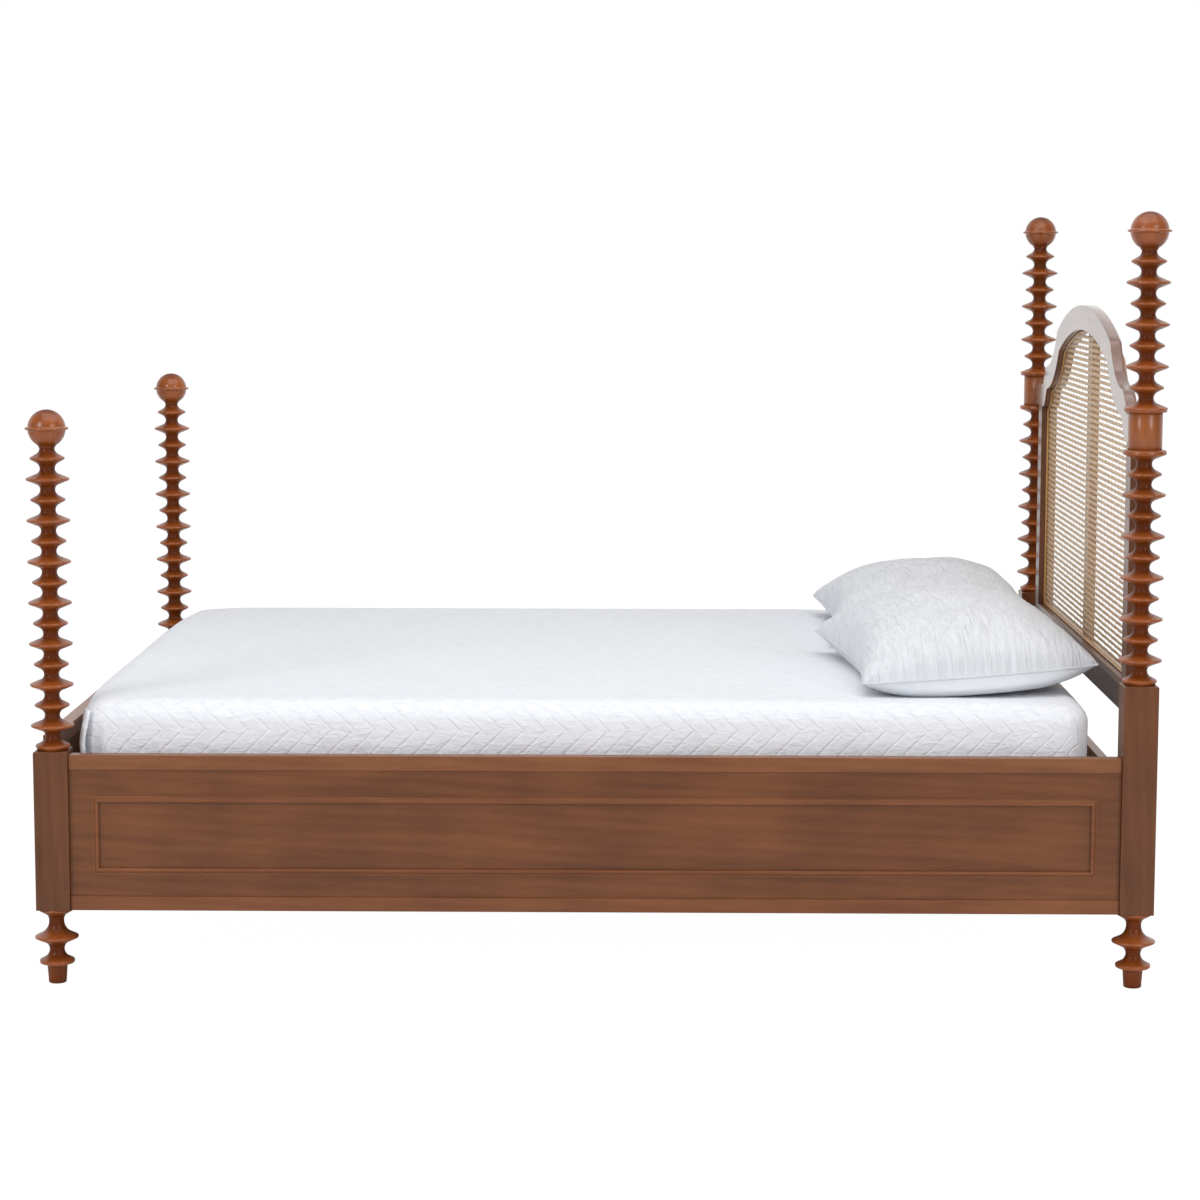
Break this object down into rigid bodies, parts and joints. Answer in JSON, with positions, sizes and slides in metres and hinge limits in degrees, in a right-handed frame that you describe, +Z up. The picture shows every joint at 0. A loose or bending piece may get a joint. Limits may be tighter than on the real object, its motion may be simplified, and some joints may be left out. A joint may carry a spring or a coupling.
{
  "type": "four-poster bed",
  "caption": "Queen-size four-poster bed with spool-turned posts, panelled rails, an arched cane headboard, a mattress, a white coverlet and two pillows.",
  "frame": {"origin": "on the floor under the middle of the bed", "axes": "+X towards the head end, +Y towards the far side, which is on the left of a person who stands at the foot and faces the head, +Z up"},
  "size_m": [2.275, 1.6878, 1.5619],
  "materials": {
    "stained_wood": "satin",
    "plain_wood": "matte",
    "cane": "satin",
    "zinc_steel": "satin",
    "glide_plastic": "matte",
    "webbing": "matte",
    "ticking": "matte",
    "quilting": "matte"
  },
  "bodies": {
    "bed_frame": {"turned_feet": "stained_wood", "near_foot_block": "stained_wood", "far_foot_block": "stained_wood", "near_head_block": "stained_wood", "far_head_block": "stained_wood", "foot_spindles": "stained_wood", "head_lower_spindles": "stained_wood", "head_barrels": "stained_wood", "head_upper_spindles": "stained_wood", "ball_finials": "stained_wood", "near_rail_cap": "stained_wood", "far_rail_cap": "stained_wood", "near_rail_band": "stained_wood", "far_rail_band": "stained_wood", "near_rail_panel": "stained_wood", "far_rail_panel": "stained_wood", "near_rail_moulding": "stained_wood", "far_rail_moulding": "stained_wood", "footboard_cap": "stained_wood", "footboard_band": "stained_wood", "footboard_panel": "stained_wood", "footboard_moulding": "stained_wood", "lower_head_rail": "stained_wood", "headboard_crown": "stained_wood", "near_headboard_stile": "stained_wood", "far_headboard_stile": "stained_wood", "headboard_sill": "stained_wood", "headboard_cross_rail": "stained_wood", "headboard_dowels": "stained_wood", "headboard_centre_slat": "stained_wood", "cane_crown_stop": "stained_wood", "cane_side_stops": "stained_wood", "cane_sill_stop": "stained_wood", "near_slat_ledger": "plain_wood", "far_slat_ledger": "plain_wood", "slats": "plain_wood", "centre_beam": "plain_wood", "beam_hangers": "plain_wood", "support_legs": "plain_wood", "cane_panel": "cane", "cane_bead": "cane", "rail_hook_plates": "zinc_steel", "post_slot_plates": "zinc_steel", "leg_glides": "glide_plastic", "slat_tapes": "webbing"},
    "bedding": {"mattress": "ticking", "coverlet": "quilting"},
    "pillow_near": {"near_pillow": "quilting"},
    "pillow_far": {"far_pillow": "quilting"}
  },
  "joints": [
    {"name": "mattress_lift", "type": "slide", "parent": "bed_frame", "child": "bedding", "axis": [0, 0, 1], "range_m": [0, 0.2]},
    {"name": "near_pillow_lift", "type": "slide", "parent": "bedding", "child": "pillow_near", "axis": [0, 0, 1], "range_m": [0, 0.15]},
    {"name": "far_pillow_lift", "type": "slide", "parent": "bedding", "child": "pillow_far", "axis": [0, 0, 1], "range_m": [0, 0.15]}
  ]
}
